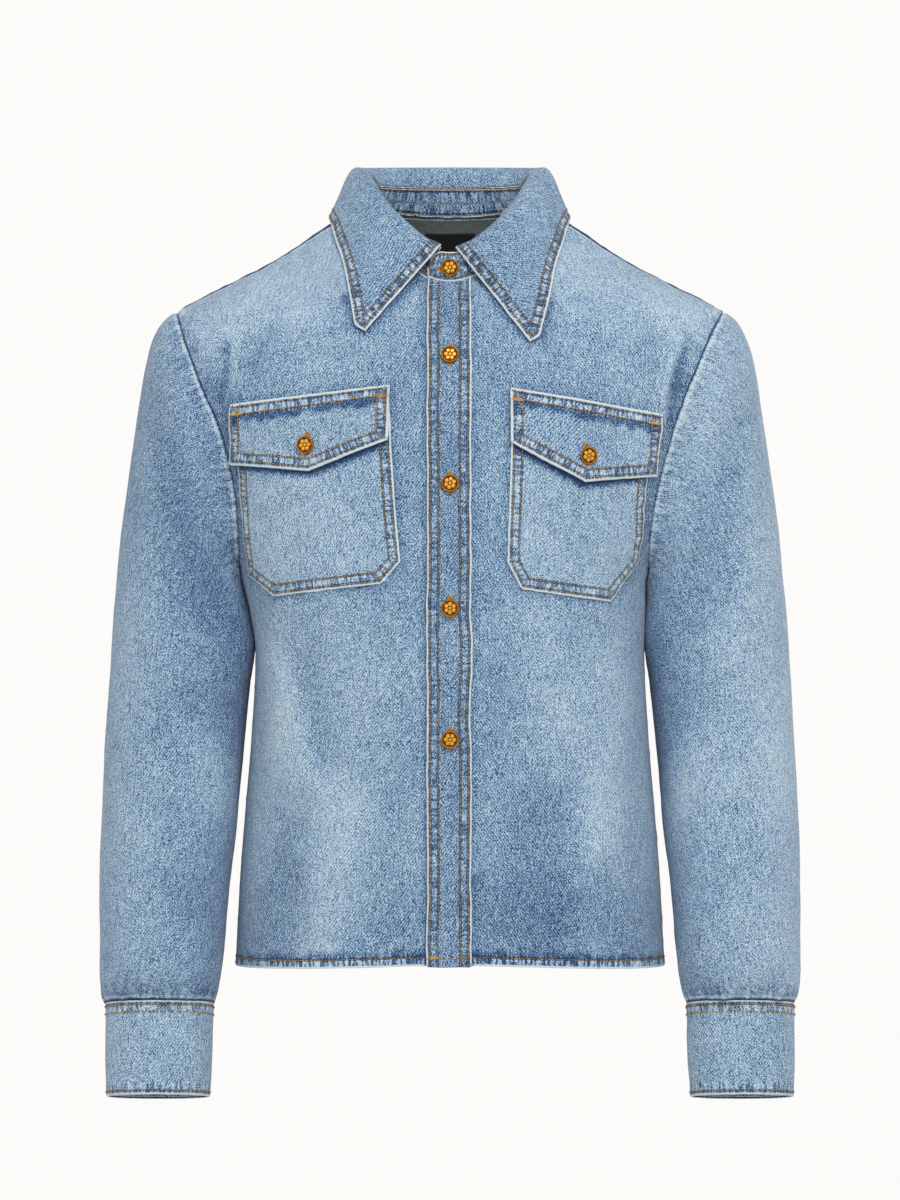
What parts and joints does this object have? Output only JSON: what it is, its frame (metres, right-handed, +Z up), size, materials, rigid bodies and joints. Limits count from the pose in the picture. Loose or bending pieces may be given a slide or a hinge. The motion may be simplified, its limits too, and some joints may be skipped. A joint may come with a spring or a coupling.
{
  "type": "denim shirt",
  "caption": "Boxy long-sleeved denim shirt, buttoned up and filled out, with a pointed collar, two flapped chest pockets and buttoned cuffs.",
  "frame": {"origin": "middle of the neck opening, level with the points where the shoulders leave the collar: where the wearer's shoulders hold the shirt up", "axes": "+Z up along the wearer, -Y towards the shirt's front, +X towards the wearer's left"},
  "size_m": [0.592, 0.2586, 0.7948],
  "materials": {
    "denim": "stone-washed light blue twill, worn pale along its edges, tan topstitching",
    "label": "bare black woven tape",
    "buttons": null
  },
  "bodies": {
    "root": {"back": "denim", "front_right": "denim", "front_left": "denim", "placket": "denim", "collar_stand": "denim", "collar_fall": "denim", "sleeve_right": "denim", "sleeve_left": "denim", "cuff_right": "denim", "cuff_left": "denim", "pocket_right": "denim", "pocket_left": "denim", "flap_right": "denim", "flap_left": "denim", "neck_label": "label", "button_stand": "buttons", "button_1": "buttons", "button_2": "buttons", "button_3": "buttons", "button_4": "buttons", "button_flap_right": "buttons", "button_flap_left": "buttons", "button_cuff_right": "buttons", "button_cuff_left": "buttons"}
  },
  "joints": []
}
